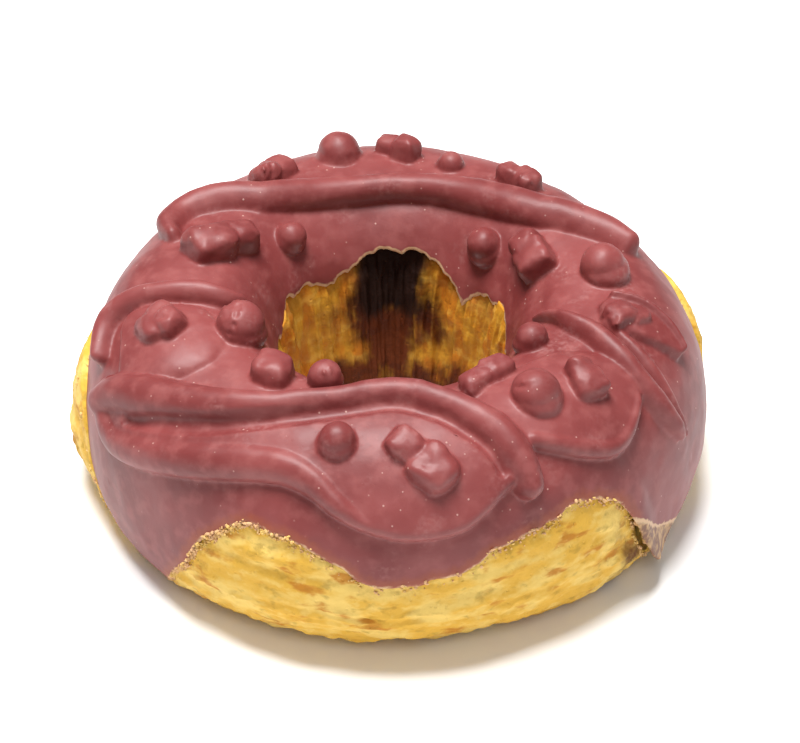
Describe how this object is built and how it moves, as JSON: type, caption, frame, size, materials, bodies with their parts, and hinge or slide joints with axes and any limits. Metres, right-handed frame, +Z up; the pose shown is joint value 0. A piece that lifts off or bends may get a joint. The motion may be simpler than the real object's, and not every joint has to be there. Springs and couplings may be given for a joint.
{
  "type": "glazed doughnut",
  "caption": "Plump ring doughnut of yellow dough under a thick wavy-edged rose-brown icing with piped ribbons, pearls and crumbs, and an open hole.",
  "frame": {"origin": "centre of the bounding box at the underside, on the surface that the doughnut rests on", "axes": "+Z up through the doughnut's hole; the front of the doughnut, with the dip in the icing that bares the dough, faces -Y; +X to the right seen from the front"},
  "size_m": [0.0916, 0.0926, 0.0379],
  "materials": {
    "dough": "matte, baked crumb",
    "icing": "satin"
  },
  "bodies": {
    "root": {"dough": "dough", "icing": "icing"}
  },
  "joints": []
}
